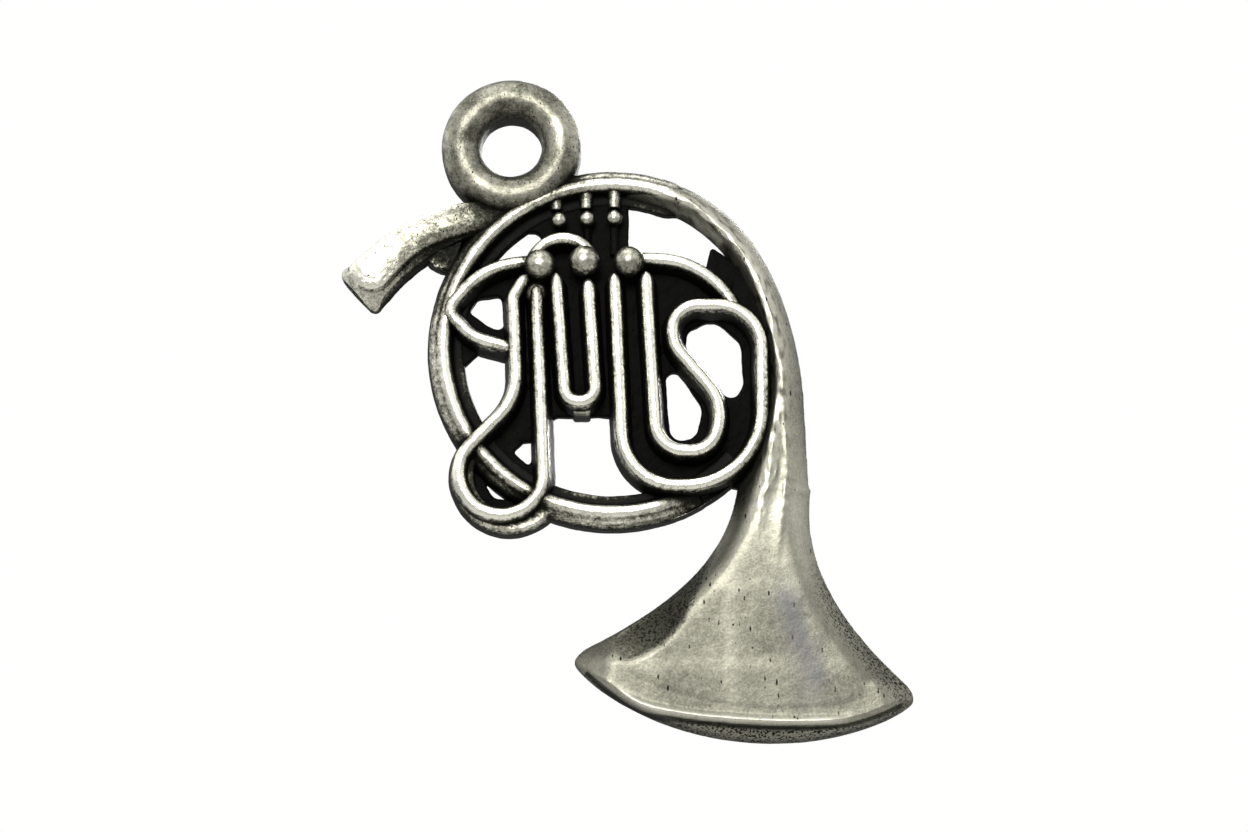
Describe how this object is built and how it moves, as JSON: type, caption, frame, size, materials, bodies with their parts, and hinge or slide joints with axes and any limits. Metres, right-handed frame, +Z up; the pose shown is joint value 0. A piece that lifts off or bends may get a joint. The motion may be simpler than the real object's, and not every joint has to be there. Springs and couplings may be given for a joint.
{
  "type": "french horn charm",
  "caption": "Small cast pendant charm in the shape of a french horn, with a bail ring at the top and an antique silver finish.",
  "frame": {"origin": "centre of the bail ring's hole", "axes": "+Z up as the charm hangs from its ring, -Y out of the front face, +X towards the bell's side"},
  "size_m": [0.0185, 0.0028, 0.0219],
  "materials": {
    "worn_silver": "antique silver over a zinc alloy casting, worn bright on the crests",
    "bright_tubes": "antique silver, polished along the crests",
    "polished_balls": "antique silver, polished",
    "satin_bell": "antique silver, satin, with fine casting pits",
    "dark_recess": "blackened patina left in the recesses"
  },
  "bodies": {
    "root": {"bail_ring": "worn_silver", "main_hoop": "worn_silver", "hoop_ledge": "dark_recess", "bell_tail": "worn_silver", "bell_flare": "satin_bell", "bell_rim": "satin_bell", "lead_pipe": "worn_silver", "mouthpiece": "worn_silver", "pipe_gusset": "dark_recess", "left_crook": "bright_tubes", "left_slide": "bright_tubes", "left_slide_base": "worn_silver", "left_slide_collar": "bright_tubes", "middle_slide": "bright_tubes", "middle_slide_foot": "worn_silver", "right_slide": "bright_tubes", "right_crook": "bright_tubes", "valve_bow": "bright_tubes", "valve_cap_1": "polished_balls", "valve_cap_2": "polished_balls", "valve_cap_3": "polished_balls", "key_button_1": "polished_balls", "key_button_2": "polished_balls", "key_button_3": "polished_balls", "key_stem_1": "worn_silver", "key_stem_2": "worn_silver", "key_stem_3": "worn_silver", "key_rod_2": "dark_recess", "key_rod_3": "dark_recess", "key_panel": "dark_recess", "crook_plate": "dark_recess", "centre_plate": "dark_recess", "right_plate": "dark_recess", "loop_plate": "dark_recess"}
  },
  "joints": []
}
